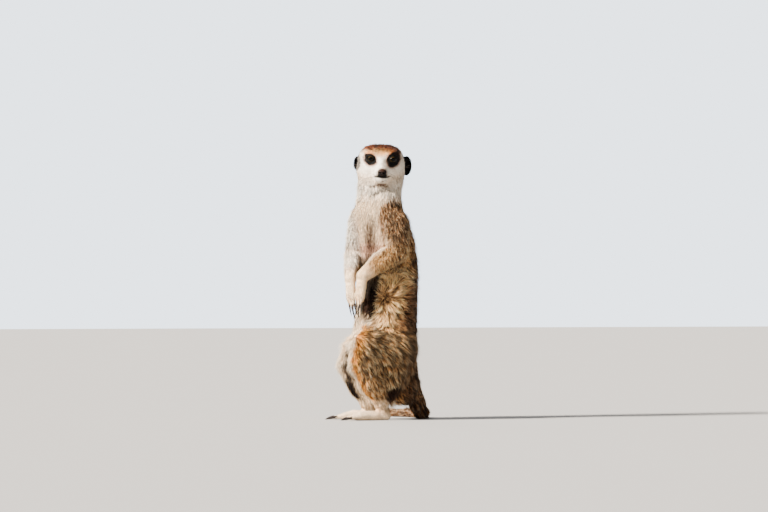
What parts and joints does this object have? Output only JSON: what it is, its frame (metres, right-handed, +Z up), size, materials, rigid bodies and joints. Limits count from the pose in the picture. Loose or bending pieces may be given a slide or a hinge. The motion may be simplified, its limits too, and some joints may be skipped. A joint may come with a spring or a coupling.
{
  "type": "meerkat",
  "caption": "Life-size still model of a meerkat standing upright on its hind feet, hands folded before the belly, head turned aside, tail on the floor.",
  "frame": {"origin": "On the floor, under the middle of the whole animal's bounding box.", "axes": "+Z up along the standing body. The hips face -Y and the animal's left is +X. The chest is turned 20 degrees and the head 67 degrees to the animal's left."},
  "size_m": [0.162, 0.1332, 0.3058],
  "materials": {
    "body_coat": "shaggy grizzled coat, golden brown with dark bars across the back",
    "throat_coat": "short soft coat, greyish cream",
    "face_coat": "very short coat, pale cream with dark eye patches and a rufous brown cap",
    "limb_coat": "short coat, cream to tan",
    "tail_tip_coat": "short coat, blackish brown",
    "ear_skin": "thin skin with very short black hair",
    "eye": "wet cornea over a dark brown iris",
    "nose_pad": "moist bare skin with a fine grain",
    "claw": "dark horn, smooth"
  },
  "bodies": {
    "root": {"head": "face_coat", "neck": "throat_coat", "trunk": "body_coat", "nose": "nose_pad", "left_ear": "ear_skin", "left_eye": "eye", "left_upper_arm": "body_coat", "left_forearm": "limb_coat", "left_hand": "limb_coat", "left_finger_claw_1": "claw", "left_finger_claw_2": "claw", "left_finger_claw_3": "claw", "left_finger_claw_4": "claw", "left_thigh": "body_coat", "left_shank": "body_coat", "left_foot": "limb_coat", "left_toe_claw_1": "claw", "left_toe_claw_2": "claw", "left_toe_claw_3": "claw", "left_toe_claw_4": "claw", "right_ear": "ear_skin", "right_eye": "eye", "right_upper_arm": "body_coat", "right_forearm": "limb_coat", "right_hand": "limb_coat", "right_finger_claw_1": "claw", "right_finger_claw_2": "claw", "right_finger_claw_3": "claw", "right_finger_claw_4": "claw", "right_thigh": "body_coat", "right_shank": "body_coat", "right_foot": "limb_coat", "right_toe_claw_1": "claw", "right_toe_claw_2": "claw", "right_toe_claw_3": "claw", "right_toe_claw_4": "claw", "tail_base": "body_coat", "tail_middle": "body_coat", "tail_tip": "tail_tip_coat"}
  },
  "joints": []
}
